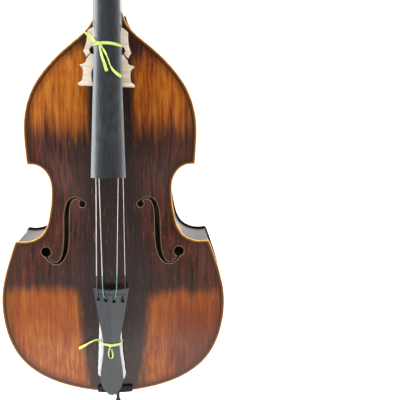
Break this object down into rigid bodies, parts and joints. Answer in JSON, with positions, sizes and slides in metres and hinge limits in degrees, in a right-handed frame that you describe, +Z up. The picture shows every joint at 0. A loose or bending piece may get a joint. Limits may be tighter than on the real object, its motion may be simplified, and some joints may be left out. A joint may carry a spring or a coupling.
{
  "type": "double bass",
  "caption": "Double bass with carved plates, worm-geared tuning machines, fingerboard, tailpiece, extending endpin, and its bridge and slack strings tied down for travel.",
  "frame": {"origin": "centre of the underside of the endpin's rubber foot, on the endpin's axis", "axes": "+Z up along the body towards the scroll, -Y out of the front where the strings are, +X towards the player's treble side"},
  "size_m": [0.6494, 0.3632, 1.9001],
  "materials": {
    "top_spruce": "glossy orange-brown varnish",
    "maple_back": "glossy red-brown varnish over flamed maple",
    "maple_ribs": "glossy dark brown varnish",
    "maple_neck": "satin brown varnish",
    "inner_wood": "bare",
    "purfling": "dark inlay",
    "ebony": "satin black",
    "bridge_maple": "bare pale maple",
    "brass": "satin",
    "steel_string": "wound steel",
    "black_wire": "black coated",
    "endpin_steel": "black",
    "ribbon": "woven, yellow-green",
    "foam": "white foam",
    "rubber": "matt black"
  },
  "bodies": {
    "bass": {"top_plate": "top_spruce", "back_plate": "maple_back", "upper_bout_rib_treble": "maple_ribs", "upper_bout_rib_bass": "maple_ribs", "waist_rib_treble": "maple_ribs", "waist_rib_bass": "maple_ribs", "lower_bout_rib_treble": "maple_ribs", "lower_bout_rib_bass": "maple_ribs", "top_purfling": "purfling", "back_purfling": "purfling", "neck_block": "inner_wood", "end_block": "inner_wood", "corner_blocks": "inner_wood", "top_linings": "inner_wood", "back_linings": "inner_wood", "bass_bar": "inner_wood", "sound_post": "inner_wood", "neck": "maple_neck", "fingerboard": "ebony", "nut": "ebony", "tailpiece": "ebony", "tailpiece_fret": "ebony", "saddle": "ebony", "bridge": "bridge_maple", "string_balls": "brass", "machine_screws": "brass", "endpin_collar": "brass", "machine_plate_1": "brass", "string_1": "steel_string", "machine_plate_2": "brass", "string_2": "steel_string", "machine_plate_3": "brass", "string_3": "steel_string", "machine_plate_4": "brass", "string_4": "steel_string", "tail_wire": "black_wire", "endpin_plug": "inner_wood", "bridge_tie": "ribbon", "bridge_tie_end_a": "ribbon", "bridge_tie_end_b": "ribbon", "bridge_tie_end_c": "ribbon", "tail_tie": "ribbon", "tail_tie_loop": "ribbon", "tail_tie_end": "ribbon", "foam_pad": "foam"},
    "tuning_key_1": {"tuning_key_1": "brass"},
    "tuning_peg_1": {"peg_gear_1": "brass", "string_wrap_1": "steel_string"},
    "tuning_key_2": {"tuning_key_2": "brass"},
    "tuning_peg_2": {"peg_gear_2": "brass", "string_wrap_2": "steel_string"},
    "tuning_key_3": {"tuning_key_3": "brass"},
    "tuning_peg_3": {"peg_gear_3": "brass", "string_wrap_3": "steel_string"},
    "tuning_key_4": {"tuning_key_4": "brass"},
    "tuning_peg_4": {"peg_gear_4": "brass", "string_wrap_4": "steel_string"},
    "endpin": {"endpin_rod": "endpin_steel", "endpin_foot": "rubber"},
    "thumb_screw": {"thumb_screw": "brass"}
  },
  "joints": [
    {"name": "key_turn_1", "type": "hinge", "parent": "bass", "child": "tuning_key_1", "pos_m": [-0.034, -0.05524, 1.67724], "axis": [0, 0.9613, -0.2756], "continuous": true},
    {"name": "peg_turn_1", "type": "hinge", "parent": "bass", "child": "tuning_peg_1", "pos_m": [0, -0.03064, 1.69047], "axis": [1, 0, 0], "continuous": true},
    {"name": "key_turn_2", "type": "hinge", "parent": "bass", "child": "tuning_key_2", "pos_m": [-0.034, -0.03319, 1.75414], "axis": [0, 0.9613, -0.2756], "continuous": true},
    {"name": "peg_turn_2", "type": "hinge", "parent": "bass", "child": "tuning_peg_2", "pos_m": [0, -0.00859, 1.76737], "axis": [1, 0, 0], "continuous": true},
    {"name": "key_turn_3", "type": "hinge", "parent": "bass", "child": "tuning_key_3", "pos_m": [0.034, -0.02217, 1.79259], "axis": [0, 0.9613, -0.2756], "continuous": true},
    {"name": "peg_turn_3", "type": "hinge", "parent": "bass", "child": "tuning_peg_3", "pos_m": [0, 0.00243, 1.80582], "axis": [1, 0, 0], "continuous": true},
    {"name": "key_turn_4", "type": "hinge", "parent": "bass", "child": "tuning_key_4", "pos_m": [0.034, -0.04422, 1.71569], "axis": [0, 0.9613, -0.2756], "continuous": true},
    {"name": "peg_turn_4", "type": "hinge", "parent": "bass", "child": "tuning_peg_4", "pos_m": [0, -0.01962, 1.72892], "axis": [1, 0, 0], "continuous": true},
    {"name": "endpin_slide", "type": "slide", "parent": "bass", "child": "endpin", "axis": [0, 0, -1], "range_m": [-0.037, 0.2]},
    {"name": "thumb_screw_turn", "type": "hinge", "parent": "bass", "child": "thumb_screw", "pos_m": [0, 0, 0.084], "axis": [1, 0, 0], "range_deg": [0, 360]}
  ],
  "couplings": [
    {"joint": "peg_turn_1", "follows": "key_turn_1", "ratio": -0.05},
    {"joint": "peg_turn_2", "follows": "key_turn_2", "ratio": -0.05},
    {"joint": "peg_turn_3", "follows": "key_turn_3", "ratio": -0.05},
    {"joint": "peg_turn_4", "follows": "key_turn_4", "ratio": -0.05}
  ]
}
